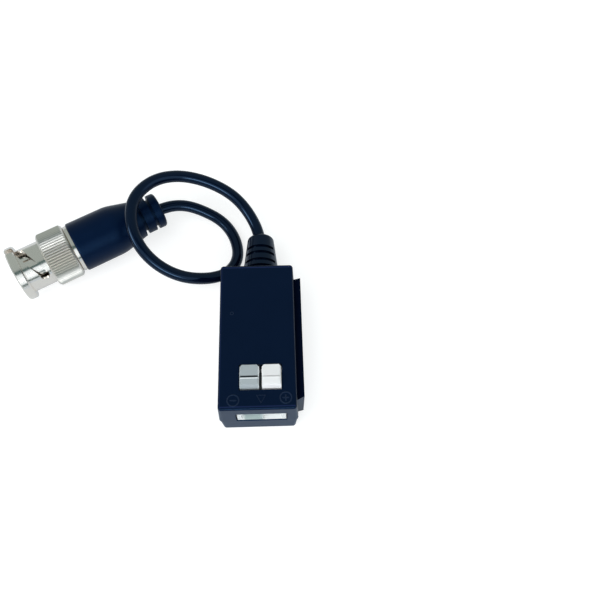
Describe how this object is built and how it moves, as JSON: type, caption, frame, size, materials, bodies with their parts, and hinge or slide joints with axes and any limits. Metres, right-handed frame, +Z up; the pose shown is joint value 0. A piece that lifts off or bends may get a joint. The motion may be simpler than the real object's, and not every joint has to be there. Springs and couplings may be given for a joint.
{
  "type": "video balun",
  "caption": "Passive video balun: snap-together housing with spring lever terminals, dovetail sides and a short coaxial lead to a bayonet plug.",
  "frame": {"origin": "on the housing's foot at mid-length, under the centre line of the two terminals and of the cable outlet", "axes": "+Y from the terminals to the cable outlet, +X to the side with the dovetail tongue, +Z up through the levers"},
  "size_m": [0.0762, 0.0657, 0.019],
  "materials": {
    "shell_black": "fine satin moulding",
    "terminal_white": "smooth moulding",
    "lever_grey": "smooth moulding",
    "lever_white": "smooth moulding",
    "spring_steel": "bright strip",
    "tinned_contact": "tin plated",
    "board": "solder mask",
    "ferrite": "sintered",
    "enamel_wire": "enamelled copper",
    "arrester_ceramic": "glazed ceramic with metal caps",
    "capacitor_ceramic": "dipped",
    "core_insulation": "smooth",
    "tinned_braid": "twisted braid",
    "cable_vinyl": "satin vinyl",
    "boot_blue_black": "satin vinyl",
    "nickel": "bright nickel plate",
    "nickel_satin": "satin nickel plate",
    "plug_insulator": "smooth",
    "gold_pin": "gold plate",
    "gasket_silicone": "moulded",
    "washer_brass": "stamped"
  },
  "bodies": {
    "housing": {"base_shell": "shell_black", "cover_shell": "shell_black", "terminal_block": "terminal_white", "clamp_spring_minus": "spring_steel", "clamp_spring_plus": "spring_steel", "contact_minus": "tinned_contact", "contact_plus": "tinned_contact", "circuit_board": "board", "transformer_core": "ferrite", "winding_line": "enamel_wire", "winding_coax": "enamel_wire", "surge_arrester": "arrester_ceramic", "ceramic_capacitor": "capacitor_ceramic", "coax_core": "core_insulation", "shield_tail": "tinned_braid", "cord_gland": "cable_vinyl", "cord": "cable_vinyl", "plug_boot": "boot_blue_black", "crimp_ferrule": "nickel", "rear_flange": "nickel", "contact_shell": "nickel", "insulator": "plug_insulator", "centre_pin": "gold_pin", "gasket": "gasket_silicone", "coupling_spring": "spring_steel"},
    "minus_lever": {"lever_minus": "lever_grey"},
    "plus_lever": {"lever_plus": "lever_white"},
    "washer": {"thrust_washer": "washer_brass"},
    "sleeve": {"coupling_sleeve": "nickel_satin"}
  },
  "joints": [
    {"name": "press_minus", "type": "hinge", "parent": "housing", "child": "minus_lever", "pos_m": [-0.00254, -0.00875, 0.0137], "axis": [1, 0, 0], "range_deg": [0, 10], "stiffness_Nm_per_rad": 0.02, "springref_deg": -2.86, "deforming": ["clamp_spring_minus"]},
    {"name": "press_plus", "type": "hinge", "parent": "housing", "child": "plus_lever", "pos_m": [0.00254, -0.00875, 0.0137], "axis": [1, 0, 0], "range_deg": [0, 10], "stiffness_Nm_per_rad": 0.02, "springref_deg": -2.86, "deforming": ["clamp_spring_plus"]},
    {"name": "sleeve_pull", "type": "slide", "parent": "housing", "child": "washer", "axis": [-0.8746, -0.4848, 0], "range_m": [0, 0.0009], "stiffness_N_per_m": 2000, "springref_m": -0.0002, "deforming": ["coupling_spring"]},
    {"name": "sleeve_turn", "type": "hinge", "parent": "washer", "child": "sleeve", "pos_m": [-0.05585, 0.02538, 0.00725], "axis": [0.8746, 0.4848, 0], "continuous": true}
  ]
}
